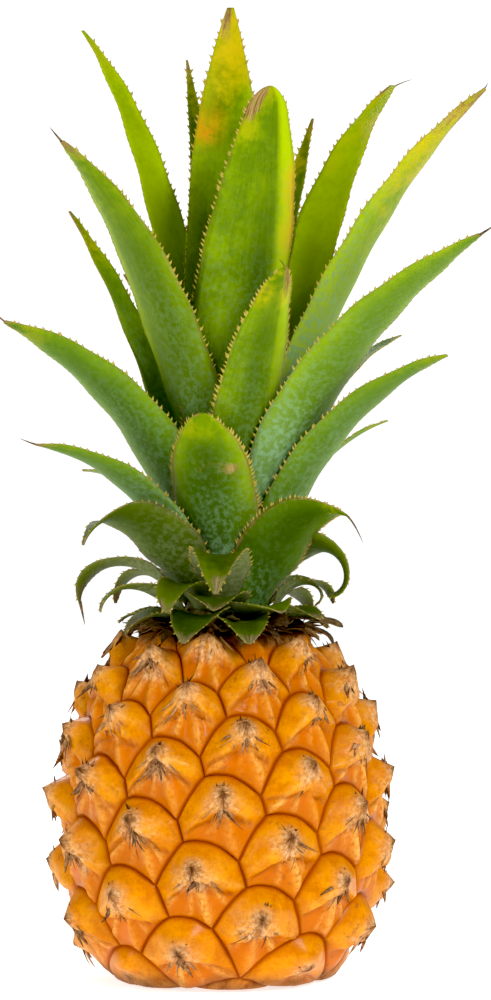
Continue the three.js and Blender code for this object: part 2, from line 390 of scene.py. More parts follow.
def dry_fibre(name, dark, pale):
    """Dead papery fibre, from dark to pale by its own `pale` mark and its grain."""
    made, tree, shader, place, uv = start_material(name)
    grain = use(tree, GRAIN, Place=place, Size=1.3)
    share = plus(tree, mark(tree, "pale"),
                      window(tree, grain["Both"], 0.35, 0.65, -0.28, 0.28), clamp=True)
    colour = mix(tree, share, dark, pale)
    line = use(tree, STREAKS, Map=uv, Fineness=14.0)["Line"]
    colour = mix(tree, window(tree, line, 0.55, 0.68, 0.0, 0.5), colour, dark)
    shader.inputs["Specular IOR Level"].default_value = 0.12
    finish_with(tree, shader, colour, window(tree, grain["Fine"], 0.3, 0.7, 0.62, 0.9),
                plus(tree, line, grain["Fine"]), 0.0003, 0.7)
    return made


def leaf_finish(name, upper, upper_dark, under, scurf, dry_dark, dry_pale, gloss):
    """A leaf: its green from the streaks and grain, the paler underside, margins and strips painted
    brighter as if lit, painted shade down the middle of the gutter, yellowing, silvery scurf,
    brown dry ends and margins, pale spines."""
    made, tree, shader, place, uv = start_material(name)
    grain = use(tree, GRAIN, Place=place, Size=9.0)
    fine = use(tree, GRAIN, Place=place, Size=1.4)
    line = use(tree, STREAKS, Map=uv, Fineness=34.0)["Line"]
    blend = plus(tree, window(tree, line, 0.3, 0.7, 0.0, 0.28),
                 window(tree, grain["Both"], 0.36, 0.64, 0.0, 0.72), clamp=True)
    colour = mix(tree, blend, upper_dark, upper)
    below = mix(tree, window(tree, line, 0.35, 0.65), under, upper)
    colour = mix(tree, mark(tree, "under"), colour, below)
    bright = window(tree, grain["Both"], 0.36, 0.64, 0.75, 1.0)
    # painted lighting: brighter margins and strips; painted shade: the darker middle of the gutter
    for key, over in (("painted_light", (0.42, 0.58, 0.001)), ("gutter_shade", (0.045, 0.095, 0.001))):
        colour = mix(tree, times(tree, mark(tree, key), bright), colour, over)

    def patchy(name, lumps, to_low, to_high, full_at):
        """A mark made uneven by lumps, and kept off the parts that don't carry it."""
        uneven = plus(tree, mark(tree, name), window(tree, *lumps, to_low, to_high))
        carried = window(tree, mark(tree, name), 0.02, full_at)
        return times(tree, uneven, carried, clamp=True)

    yellow = patchy("yellow", (grain["Both"], 0.38, 0.62), -0.3, 0.25, 0.3)
    colour = mix(tree, yellow, colour, (0.60, 0.46, 0.006))
    lumps = window(tree, fine["Coarse"], 0.3, 0.5)
    orange = times(tree, mark(tree, "orange"), lumps, clamp=True)
    colour = mix(tree, orange, colour, (0.66, 0.30, 0.004))
    much = mark(tree, "scurf")
    whole = times(tree, times(tree, much, much), 0.32)
    flecks = times(tree, window(tree, fine["Both"], 0.44, 0.60), 0.75)
    cover = times(tree, times(tree, much, 1.35), plus(tree, whole, flecks), clamp=True)
    colour = mix(tree, cover, colour, scurf)
    spot = use(tree, SPECKS, Place=place, Size=4.4, Amount=0.16)["Mask"]
    colour = mix(tree, times(tree, spot, 0.4), colour, (0.30, 0.29, 0.03))
    brown = patchy("brown", (fine["Both"], 0.35, 0.65), -0.3, 0.3, 0.35)
    dry = mix(tree, window(tree, line, 0.35, 0.65), dry_dark, dry_pale)
    colour = mix(tree, brown, colour, dry)
    colour = mix(tree, times(tree, mark(tree, "spine"), 0.85), colour, (0.52, 0.40, 0.08))
    dull = times(tree, math_node(tree, "MAXIMUM", cover, brown), 0.30)
    rough = plus(tree, window(tree, fine["Fine"], 0.3, 0.7, gloss, gloss + 0.12), dull)
    height = plus(tree, times(tree, line, 0.8), plus(tree, times(tree, cover, 0.5), fine["Fine"]))
    finish_with(tree, shader, colour, rough, height, 0.00022, 0.6)
    shader.inputs["Specular IOR Level"].default_value = 0.1
    return made


SKIN = fruit_skin()
FIBRE = dry_fibre("dry_points", (0.075, 0.027, 0.010), (0.62, 0.34, 0.15))
BRACT = dry_fibre("dry_bracts", (0.060, 0.032, 0.014), (0.36, 0.24, 0.10))
STEM = dry_fibre("crown_stem", (0.070, 0.055, 0.018), (0.30, 0.26, 0.10))
OLD_LEAF = (0.16, 0.075, 0.020), (0.46, 0.31, 0.11)
GREEN = leaf_finish(
    "leaf_green", (0.205, 0.330, 0.001), (0.085, 0.165, 0.001), (0.15, 0.25, 0.008),
    (0.22, 0.38, 0.16), *OLD_LEAF, 0.34,
)
SILVER = leaf_finish(
    "leaf_silver", (0.125, 0.245, 0.001), (0.048, 0.115, 0.001), (0.14, 0.28, 0.030),
    (0.25, 0.43, 0.21), *OLD_LEAF, 0.36,
)
DRY = leaf_finish(
    "leaf_dry", (0.095, 0.150, 0.004), (0.036, 0.058, 0.001), (0.15, 0.18, 0.045),
    (0.24, 0.28, 0.12), (0.075, 0.050, 0.020), (0.36, 0.29, 0.13), 0.42,
)


# ---- the fruit's surface ----------------------------------------------------------------
def barrel(z):
    """Radius R (1 - |(z - w) / a|^p)^(1/p) at height z, with its own reach a below and
    above the widest ring w."""
    t = np.abs(z - WIDEST_AT) / np.where(z < WIDEST_AT, REACH_BELOW, REACH_ABOVE)
    return FRUIT_RADIUS * (1 - np.minimum(t, 1) ** BARREL_POWER) ** (1 / BARREL_POWER)


class Outline:
    """The fruit's outline from the middle of its neck, down the barrel, to the middle of its
    base: radius r, height z, the distance s along it, the skin's area above each point
    counted from the neck, and v, the sum of ds / r, in which the skin's angles are true."""

    def __init__(self):
        z = np.linspace(FRUIT_HEIGHT, 0, 1200)
        r = barrel(z)
        top = np.linspace(0, r[0], 160)[:-1]
        low = np.linspace(r[-1], 0, 200)[1:]
        r = np.concatenate([top, r, low])
        z = np.concatenate([FRUIT_HEIGHT + 0.8 * (1 - (top / top[-1]) ** 2), z, 0 * low])
        s = np.concatenate([[0], np.cumsum(np.hypot(np.diff(r), np.diff(z)))])
        even = np.linspace(0, s[-1], 1500)
        r, z = np.interp(even, s, r), np.interp(even, s, z)
        width = 45  # rounds the rims of the neck and the base over about 5 mm
        taps = np.hanning(width)
        taps /= taps.sum()
        pad = width // 2
        r2 = np.convolve(np.concatenate([-r[pad:0:-1], r, -r[-2:-pad - 2:-1]]), taps, "valid")
        z2 = np.convolve(np.pad(z, pad, mode="reflect"), taps, "valid")
        self.r, self.z = np.maximum(r2, 0), np.maximum(z2, 0)
        self.s = np.concatenate([[0], np.cumsum(np.hypot(np.diff(self.r), np.diff(self.z)))])
        step = np.gradient(self.s)
        neck = np.argmax(r >= top[-1])
        area = np.cumsum(TURN * self.r * step)
        self.area = area - area[neck]
        self.v = np.cumsum(step / np.maximum(self.r, 0.3))
        self.v -= np.interp(0.5 * self.area[-1], self.area, self.v)
        self.angle = np.arctan2(self.r, self.z - WIDEST_AT)  # seen from the middle
        dr, dz = np.gradient(self.r), np.gradient(self.z)
        size = np.hypot(dr, dz)
        self.out_r, self.out_z = -dz / size, dr / size

    def point(self, turn, s):
        r, z = np.interp(s, self.s, self.r), np.interp(s, self.s, self.z)
        return np.stack([r * np.sin(turn), -r * np.cos(turn), z], -1)

    def meet(self, p):
        """Where the ray from the middle of the fruit through p meets the skin: the point,
        the way out of the skin there, and the way up along it."""
        turn = np.arctan2(p[..., 0], -p[..., 1])
        angle = np.arctan2(np.hypot(p[..., 0], p[..., 1]), p[..., 2] - WIDEST_AT)
        r, z, out_r, out_z = (
            np.interp(angle, self.angle, a) for a in (self.r, self.z, self.out_r, self.out_z)
        )
        sin, cos = np.sin(turn), np.cos(turn)
        on = np.stack([r * sin, -r * cos, z], -1)
        out = np.stack([out_r * sin, -out_r * cos, out_z], -1)
        up = np.stack([-out_z * sin, out_z * cos, out_r], -1)
        return on, unit(out), unit(up)


LINE = Outline()


def fruitlet_sites():
    """Fruitlet i sits where the skin above it has the area A (i + g i^2 / 160), one
    divergence angle further round than the last, and the ones before 0 go on over the neck."""
    i = np.arange(-GHOSTS_ABOVE, MOST_FRUITLETS)
    area = FRUITLET_AREA * (i + np.where(i > 0, FRUITLET_GROWTH * i * i / 80, 0))
    keep = (area > LINE.area[0] + NECK_CLEAR) & (area < LINE.area[-1] - BASE_CLEAR)
    i, area = i[keep], area[keep]
    return i, np.radians(FIRST_TURN + DIVERGENCE * i), np.interp(area, LINE.area, LINE.s)


def cells(turn, s):
    """The cell of each site: the sites go on a unit sphere by the map that keeps angles,
    (sin t / cosh v, -cos t / cosh v, -tanh v). A face of their convex hull holds three
    neighbours, and the corner that their cells share lies at its normal. Returns the
    corners' places and, for each site, its corners counter-clockwise."""
    v = np.interp(s, LINE.s, LINE.v)
    on = np.stack([np.sin(turn) / np.cosh(v), -np.cos(turn) / np.cosh(v), -np.tanh(v)], -1)
    triples = np.array(list(itertools.combinations(range(len(on)), 3)))
    a, b, c = on[triples[:, 0]], on[triples[:, 1]], on[triples[:, 2]]
    normal = unit(np.cross(b - a, c - a))
    side = normal @ on.T - np.sum(normal * a, 1)[:, None]
    inside = (side.max(1) < 1e-9) | (side.min(1) > -1e-9)
    triples, normal = triples[inside], normal[inside]
    normal *= np.sign(np.sum(normal * on[triples[:, 0]], 1))[:, None]
    corner_v = np.arctanh(np.clip(-normal[:, 2], -0.999999, 0.999999))
    corner_turn = np.arctan2(normal[:, 0], -normal[:, 1])
    corners = LINE.point(corner_turn, np.interp(corner_v, LINE.v, LINE.s))
    loops = []
    for k in range(len(on)):
        mine = np.nonzero((triples == k).any(1))[0]
        right = unit(np.cross([0, 0, 1], on[k]))
        up = np.cross(on[k], right)
        away = normal[mine] - on[k]
        loops.append(mine[np.argsort(np.arctan2(away @ up, away @ right))])
    return corners, loops


def cell_edges(corners, loops):
    """Points along each side that two cells share, EDGE_STEPS - 1 of them: a straight line
    between its corners, arched upwards in the middle and a little uneven, so that each
    fruitlet has a round shoulder and a pointed tail."""
    sides = np.concatenate([np.stack([loop, np.roll(loop, -1)], -1) for loop in loops])
    pairs = sorted({tuple(pair) for pair in np.sort(sides, axis=1).tolist()})
    ends = corners[np.array(pairs)]
    t = np.linspace(0, 1, EDGE_STEPS + 1)[1:-1][None, :, None]
    p = lerp(ends[:, :1], ends[:, 1:], t)
    _, _, up = LINE.meet(p)
    level = np.linalg.norm((ends[:, 1] - ends[:, 0])[:, :2], axis=1)[:, None, None]
    bow = 4 * t * (1 - t)
    p = p + up * bow * level * ARCH
    p = p + up * (bow * 0.35 * noise(p, 3.1)[..., None])
    return {pair: k for k, pair in enumerate(pairs)}, p


# How far in from the groove each ring of a fruitlet lies, as a share of the way to its point.
RINGS = np.array([0, .022, .05, .085, .125, .175, .23, .295, .365, .44, .515, .59, .66, .725,
                  .785, .84, .89, .935, .97])


def fruit_skin_mesh():
    """The skin as one closed surface. Each fruitlet is a patch of rings that run from the
    groove round it to its dry point, and neighbours share the points in the groove."""
    number, turn, s = fruitlet_sites()
    corners, loops = cells(turn, s)
    edge_of, edge_points = cell_edges(corners, loops)
    chance = np.random.default_rng(42)
    real = (number >= 0) & (s < LINE.s[-1] - PLAIN_BASE)
    base = [corners, edge_points.reshape(-1, 3)]
    count = sum(map(len, base))
    rim, _, _ = LINE.meet(np.concatenate(base))
    first_edge = len(corners)
    inner = EDGE_STEPS - 1
    parts, faces, uvs = [], [], []
    for k, loop in enumerate(loops):
        index = []
        for a, b in zip(loop, np.roll(loop, -1)):
            a, b = int(a), int(b)
            run = first_edge + edge_of[tuple(sorted((a, b)))] * inner + np.arange(inner)
            index.append(np.concatenate([[a], run if a < b else run[::-1]]))
        index = np.concatenate(index)
        around = len(index)
        shift = POINT_UP if real[k] else 0.0
        side = chance.normal(0, 0.5) if real[k] else 0.0
        right = np.array([math.cos(turn[k]), math.sin(turn[k]), 0.0])
        centre = LINE.point(turn[k], max(s[k] - shift, 0.5)) + right * side
        centre, _, up = (a[0] for a in LINE.meet(centre[None]))
        border = rim[index]
        p = lerp(border[None], centre, RINGS[1:, None, None])
        p = np.concatenate([p.reshape(-1, 3), centre[None]])
        on, way_out, way_up = LINE.meet(p)
        gap = np.sqrt(((on[:, None] - border[None]) ** 2).sum(-1)).min(1)
        x, y = (on - centre) @ right, (on - centre) @ up
        foot = border[np.argmin((border - centre) @ up)] - centre
        parts.append(dict(on=on, out=way_out, up=way_up, x=x, y=y, gap=gap,
                          k=np.full(len(on), k), skew=np.full(len(on), foot @ right),
                          tail=np.full(len(on), -(foot @ up))))
        xb, yb = (border - centre) @ right, (border - centre) @ up
        local = np.concatenate([index, count + np.arange(len(on))])
        rings = len(RINGS)
        quads = loft_faces(rings, around)
        last = (rings - 1) * around
        j = np.arange(around)
        fan = np.stack([last + j, last + (j + 1) % around, np.full(around, rings * around)], -1)
        place = np.stack([np.concatenate([xb, x]), np.concatenate([yb, y])], -1)
        # fibres fan out from the point, so the map holds (turn about it, distance from it)
        swing = np.arctan2(place[:, 0], -place[:, 1])
        far = np.hypot(place[:, 0], place[:, 1])
        fan_map = np.stack([swing * FAN_TURN + FAN_STEP * k, far * FAN_REACH], -1)
        faces.append((local[quads], local[fan]))
        quad_uv, fan_uv = fan_map[quads].copy(), fan_map[fan].copy()
        for m in (quad_uv, fan_uv):  # faces that straddle the seam of the turn are joined up
            wrap = m[..., 0].max(1) - m[..., 0].min(1) > FAN_TURN * math.pi
            low = m[..., 0] < FAN_STEP * k
            m[..., 0] = np.where(wrap[:, None] & low, m[..., 0] + FAN_TURN * TURN, m[..., 0])
        uvs.append((quad_uv.reshape(-1, 2), fan_uv.reshape(-1, 2)))
        count += len(on)
    q = {key: np.concatenate([part[key] for part in parts]) for key in parts[0]}
    points, marks = fruitlet_relief(q, real, rim)
    quads = np.concatenate([f[0] for f in faces])
    fans = np.concatenate([f[1] for f in faces])
    uv = np.concatenate([u[0] for u in uvs] + [u[1] for u in uvs])
    return points, [quads, fans], marks, uv, (turn[real], s[real])


def on_flank(z):
    """1 on the fruit's flank, 0 at its flat base and where the crown covers it."""
    return smooth(3.0, 11.0, z) * smooth(FRUIT_HEIGHT + 0.6, FRUIT_HEIGHT - 4.0, z)


def browned(z, lumps=0.0):
    """1 where the skin is dead and brown, at the neck and round the cut base."""
    neck = smooth(FRUIT_HEIGHT - 3.2, FRUIT_HEIGHT - 0.4, z + 0.8 * lumps)
    return np.maximum(neck, 0.85 * smooth(6.0, 0.2, z + 1.5 * lumps))


def bell(x, width):
    """exp(-(x / width)^2)."""
    return np.exp(-((x / width) ** 2))


def fruitlet_relief(q, real, rim):
    """Heights over the barrel and the marks for the finish, among them painted shade in the hollows
    and by the grooves and a painted shadow under the dome's rim. From the groove a quarter circle
    rounds up to the cushion. Above a creased rim line the dome stands proud; below it the tail is
    lower and faceted by ridges that run from the point to the corners. The point is a sharp
    cone, exp(-q / 1.5), leaning upwards."""
    chance = np.random.default_rng(11)
    cells_n = len(real)

    def each(low, high):
        return chance.uniform(low, high, cells_n)[q["k"]]

    x, y, gap = q["x"], q["y"], q["gap"]
    here = q["on"]
    live = real[q["k"]].astype(float)
    far = np.hypot(x, y)
    swing = np.degrees(np.arctan2(x, -y))  # 0 straight down from the point
    # off is the same angle, counted from the tail's ridge
    off = swing - np.degrees(np.arctan2(q["skew"], q["tail"])) * smooth(0, 5, far)
    rough = noise(here, 2.2)
    broad = noise(here, 6.5)
    # the rim of the dome, an upturned V from the point to the side corners
    drop = each(1.2, 6.5)
    fold_at = -drop - np.abs(x) * (8.0 - drop) / 9.0 + x * each(-0.12, 0.22)
    fold_at = fold_at + 0.6 * noise(here, 3.4)
    over = y - fold_at
    dome = smooth(-0.5, 0.45, over)
    aside = smooth(0.8, 3.2, np.abs(x - each(-0.6, 0.6)))
    # ridges from the point: the two arms of the V and one down to the tail, with hollows between
    ridge = np.zeros_like(x)
    arms = ((-64, -50), 1.1), ((48, 62), 1.1), ((-8, 8), 1.3), ((-34, -20), 0.7), ((20, 34), 0.7)
    for at, thick in [(each(*within), thick) for within, thick in arms]:
        arc = np.radians(off - at) * np.maximum(far, 1.5)
        ridge = np.maximum(ridge, each(0.2, 1.0) * bell(arc, thick))
    ridge *= smooth(0.8, 3.0, far) * smooth(0.2, 2.2, gap)
    hollow = np.clip(np.sin(np.radians(np.clip(np.abs(off), 0, 60) * 3)), 0, 1)
    hollow *= smooth(1.5, 7.0, far) * smooth(0, 2.5, gap) * (1 - dome)
    fibre = noise(np.stack([swing * 0.16, far * 0.22, q["k"] * 3.7], -1), 1.0)
    spread = bell(swing - each(-15, 15), each(38, 80))
    reach = each(3.0, 7.5)
    scar = smooth(reach + 1.6, reach - 1.6, far + 1.1 * rough + 1.2 * fibre)
    scar = spread * scar * smooth(0.3, 1.4, far)
    scar = np.maximum(scar, 0.9 * bell(far - 1.6, 1.3))
    cushion = -GROOVE_DEPTH * (1 - np.sqrt(1 - (1 - np.clip(gap / CUSHION_WIDTH, 0, 1)) ** 2))
    point = 1.7 * np.exp(-far / 1.3) + 1.3 * bell(far, 4.0)
    crest = dome * (0.6 + 1.7 * bell(x, 7.0)) * smooth(0.0, 5.5, gap)
    # the step down under the dome's rim; the finish paints its shadow from the same mask
    fold = aside * bell(over + 0.45, 0.6) * smooth(0.3, 2.0, gap)
    relief = (
        1.2 * crest
        + point * each(0.7, 1.3)
        + ridge * lerp(1.35, 0.4, dome)
        - 0.5 * fold * each(0.4, 1.2)
        - 1.05 * hollow
        + 0.45 * broad * smooth(0, 3, gap)
        + scar * (0.75 * np.abs(fibre) + 0.25 * rough)
        + 0.08 * rough
    )
    ends = on_flank(here[:, 2])
    relief *= lerp(0.15, 1.0, ends) * live
    total = lerp(0.55, 1.0, ends) * (cushion - SINK) + relief
    hook = 1.1 * np.exp(-far / 1.2) * ends * live
    p = here + q["out"] * total[:, None] + q["up"] * hook[:, None]
    _, rim_out, _ = LINE.meet(rim)
    rim_depth = (GROOVE_DEPTH + SINK) * lerp(0.55, 1.0, on_flank(rim[:, 2]))
    rim = rim - rim_out * rim_depth[:, None]
    points = np.concatenate([rim, p])
    points[:, 2] = np.maximum(points[:, 2], 0)
    pad = np.zeros(len(rim))

    def whole(values, edge=0.0):
        return np.concatenate([pad + edge, values])

    dry = bell(far + 0.9 * fibre, each(0.9, 1.7)) * live
    slit = bell(x - each(-0.6, 0.6), 0.8) * smooth(6.5, 2.0, -y) * smooth(0.2, -1.0, y) * live
    cap = browned(here[:, 2], broad)
    blush = smooth(4.8, 1.0, far + 0.7 * rough) * each(0.1, 0.7) * 0.8
    marks = {
        "dome": whole(dome * live * (0.75 + 0.25 * broad)),
        "groove": whole(bell(gap, 0.55), 1.0),
        # painted shade: darker within a few mm of each groove, less so on the dome
        "shade": whole(0.9 * np.exp(-gap / 1.7) * (1 - 0.3 * dome) * live, 0.75),
        # rich orange on the tail below the dome, and painted shade in its hollows
        "deep": whole(np.clip(hollow + 0.35 * (1 - dome), 0, 1) * live),
        # painted shadow under the dome's rim
        "fold": whole(0.8 * fold * live),
        "ridge": whole(np.clip(ridge, 0, 1) * live * (1 - 0.6 * dome)),
        "scar": whole(np.clip(scar * 1.15, 0, 1) * live),
        "slit": whole(slit * each(0.2, 1.0)),
        "dry": whole(dry),
        "freckle": whole(np.clip(0.6 + 0.4 * broad, 0, 1) * each(0.0, 1.0) * live),
        "blush": whole(blush * live),
        "ends": np.concatenate([browned(rim[:, 2]), cap]),
        "dull": whole(np.clip(scar + dry + cap, 0, 1), 0.3),
    }
    return points, marks


# ---- fibres and bracts ------------------------------------------------------------------
def strands(start, way, bend, long, thick, flat, pale, stations=6):
    """Closed tapering fibres, one for each row: the path start + way t L + bend t^2 L, with
    a four-sided section that thins as (1 - t)^0.7. Returns points, faces and marks."""
    n = len(start)
    t = np.linspace(0, 1, stations)
    share = t[None, :, None]
    reach = way[:, None] * share + bend[:, None] * share ** 2
    path = start[:, None] + reach * long[:, None, None]
    along = unit(way[:, None] + 2 * bend[:, None] * share)
    side = unit(np.cross(along, bend[:, None] + np.array([0.031, 0.017, 0.023])))
    third = np.cross(along, side)
    width = thick[:, None] * (1 - t[None, :]) ** 0.7 + 0.03
    corner = np.array([[1, 0], [0, 1], [-1, 0], [0, -1]], float)[None, None]
    width = width[:, :, None, None]
    ring = (side[:, :, None] * corner[..., :1] * width * flat[:, None, None, None]
            + third[:, :, None] * corner[..., 1:] * width)
    p = (path[:, :, None] + ring).reshape(n, -1, 3)
    one = loft_faces(stations, 4)
    caps = np.array([[3, 2, 1, 0], [0, 1, 2, 3]]) + np.array([[0], [(stations - 1) * 4]])
    one = np.concatenate([one, caps])
    faces = (one[None] + (np.arange(n) * stations * 4)[:, None, None]).reshape(-1, 4)
    tone = np.repeat(pale[:, None] * (1 - 0.75 * t[None, :]), 4)
    return p.reshape(-1, 3), faces, tone


def dry_point_fibres(sites):
    """Torn fibres at each fruitlet's point: the hooked remains of its bract and flower, some
    standing out and curling up, some lying down over the scar."""
    chance = np.random.default_rng(5)
    turn, s = (np.repeat(a[sites[1] > 7], FIBRES_PER_POINT) for a in sites)
    s = s - POINT_UP
    n = len(turn)
    stand = np.arange(n) % FIBRES_PER_POINT < STANDING_FIBRES
    on, out, up = LINE.meet(LINE.point(turn, s))
    right = np.stack([np.cos(turn), np.sin(turn), 0 * turn], -1)
    dx = chance.normal(0, np.where(stand, 0.6, 1.2), n)
    dy = np.where(stand, chance.normal(0.4, 0.6, n), chance.uniform(-3.6, 0.2, n))
    lift = np.where(stand, 1.0, 1.3) * np.exp(-np.hypot(dx, dy) / 2.4) + np.where(stand, 0.0, 1.05)
    start = on + right * dx[:, None] + up * dy[:, None] + out * lift[:, None]
    lean_x = np.where(stand, chance.normal(0, 0.4, n), dx * 0.5 + chance.normal(0, 0.35, n))
    lean_y = np.where(stand, chance.uniform(0.3, 1.1, n), -chance.uniform(0.5, 1.1, n))
    lean_o = np.where(stand, chance.uniform(0.4, 0.9, n), chance.uniform(-0.12, 0.12, n))
    way = unit(right * lean_x[:, None] + up * lean_y[:, None] + out * lean_o[:, None])
    bend = (up * np.where(stand, chance.uniform(0.1, 0.8, n), -0.1)[:, None]
            + right * chance.normal(0, 0.35, n)[:, None]
            - out * np.where(stand, 0.15, 0.12)[:, None])
    long = np.where(stand, chance.uniform(1.2, 2.8, n), chance.uniform(2.2, 6.0, n))
    thick = np.where(stand, chance.uniform(0.25, 0.6, n), chance.uniform(0.14, 0.30, n))
    flat = np.where(stand, chance.uniform(0.9, 2.0, n), chance.uniform(1.6, 3.6, n))
    pale = np.where(stand, chance.uniform(0.0, 0.6, n), chance.uniform(0.35, 1.5, n))
    keep = start[:, 2] > LOWEST_FIBRE
    return strands(*(a[keep] for a in (start, way, bend, long, thick, flat, pale)))


# ---- leaves -----------------------------------------------------------------------------
TALL = [
    # turn, foot, lean, bend, hook, long, wide, roll, sway, blunt
    [-176, 121, 4, 6, 0, 139, 23, 0, -14, 0.07],
    [25, 118, 6, 15, -14, 119, 26, 0, 2, 0.24],
    [21, 112, 13, 14, 20, 84, 15, -6, 3, 0.16],
    [-129, 114.5, 6, 15, 21, 148, 18, -14, 2, 0.07],
    [-55, 112, 4, 33, 12, 120, 19, -9, 1, 0.07],
    [-108, 108.5, 10, 20, 5, 103, 13, -8, -1, 0.07],
    [129, 113.5, 16, 1, 32, 138, 20, 8, 1, 0.1],
    [94, 110.5, 11, 26, 11, 142, 20, 11, -1, 0.07],
    [-161, 118, 7, 8, 7, 131, 9, 0, 2, 0.07],
    [142, 116.5, 10, 12, 0, 118, 12, 0, -2, 0.07],
]
SPREADING = [
    [-14, 104.5, 15, 6, 14, 49, 24, 1, 1, 0.5],
    [-69, 106.5, 6, 66, -4, 90, 21, -26, 1, 0.07],
    [-62, 102, 12, 75, -6, 64, 17, -12, 0, 0.07],
    [57, 107.5, 9, 61, -8, 116, 22, 18, 0, 0.07],
    [70, 103, 10, 57, 4, 84, 18, 20, 0, 0.07],
    [117, 103, 10, 60, 3, 62, 12, 14, 0, 0.07],
    [37, 97.5, 7, 88, 12, 50, 18, 32, 7, 0.08],
    # at the back
    [180, 108.5, 14, 44, -2, 88, 17, -1, -4, 0.07],
    [-151, 111, 10, 47, 9, 98, 12, -4, -2, 0.07],
    [137, 105.5, 13, 60, 0, 94, 13, 1, 0, 0.07],
    [127, 107.5, 14, 37, 2, 96, 8, -1, -1, 0.07],
    [-134, 102.5, 20, 68, 3, 58, 16, -2, 0, 0.07],
    [-172, 104.5, 15, 64, 0, 63, 17, 0, 0, 0.07],
    [160, 100.5, 18, 70, 0, 61, 16, 0, 0, 0.07],
]
CURLED = [
    [-50, 100.5, 21, 70, 68, 51, 18, -24, 5, 0.07],
    [-98, 97.5, 20, 116, 58, 39, 12, -14, -6, 0.07],
    [-61, 96.5, 44, 60, 70, 30, 10, -10, 3, 0.07],
    [64, 100.5, 4, 150, 120, 43, 17, 25, -1, 0.08],
    [83, 97, 14, 96, 120, 20, 9, 10, 0, 0.07],
    [-5, 99.5, 19, 114, 36, 42, 13, 2, 4, 0.08],
    [-31, 98.5, 24, 120, 40, 24, 12, 0, 0, 0.08],
    [-6, 97.5, 46, 76, 2, 20, 12, 0, 0, 0.08],
    [26, 96, 56, 52, 0, 20, 12, -2, 0, 0.08],
    [-18, 95.5, 68, 60, 20, 24, 11, 0, 0, 0.08],
    [10, 94.8, 74, 46, 20, 22, 11, 0, 0, 0.08],
    [54, 95, 52, 60, 20, 18, 10, 0, 0, 0.08],
    [80, 94.8, 60, 60, 30, 14, 6, 0, 0, 0.08],
    [-66, 94.8, 62, 70, 20, 17, 11, 0, 0, 0.08],
    # at the back
    [115, 99.5, 40, 90, 40, 24, 11, 0, 0, 0.08],
    [140, 97, 50, 80, 30, 26, 12, 0, 0, 0.08],
    [168, 98.5, 36, 90, 40, 34, 13, 3, 0, 0.08],
    [-160, 96.5, 46, 80, 30, 32, 15, 0, 0, 0.08],
    [-130, 98, 36, 90, 50, 34, 12, 3, 0, 0.08],
    [-104, 94.8, 64, 50, 20, 17, 10, 0, 0, 0.08],
    [-140, 94.8, 70, 50, 20, 20, 11, 0, 0, 0.08],
    [-176, 94.8, 70, 50, 20, 22, 11, 0, 0, 0.08],
    [152, 94.8, 68, 56, 20, 20, 11, -1, 0, 0.08],
    [118, 94.8, 70, 50, 20, 18, 11, 0, 0, 0.08],
]


def stem_radius(z):
    return lerp(STEM_RADIUS, STEM_TIP_RADIUS, (z - STEM_FOOT) / (STEM_TOP - STEM_FOOT))


def turned(v, axis, angle):
    """Each v turned about its own unit axis: v cos + (axis x v) sin + axis (axis . v)(1 - cos)."""
    c, s = np.cos(angle)[..., None], np.sin(angle)[..., None]
    return v * c + np.cross(axis, v) * s + axis * (axis * v).sum(-1, keepdims=True) * (1 - c)


def outward_at(turn):
    """The level direction away from the axis at that turn in degrees."""
    return np.array([math.sin(math.radians(turn)), -math.cos(math.radians(turn)), 0])


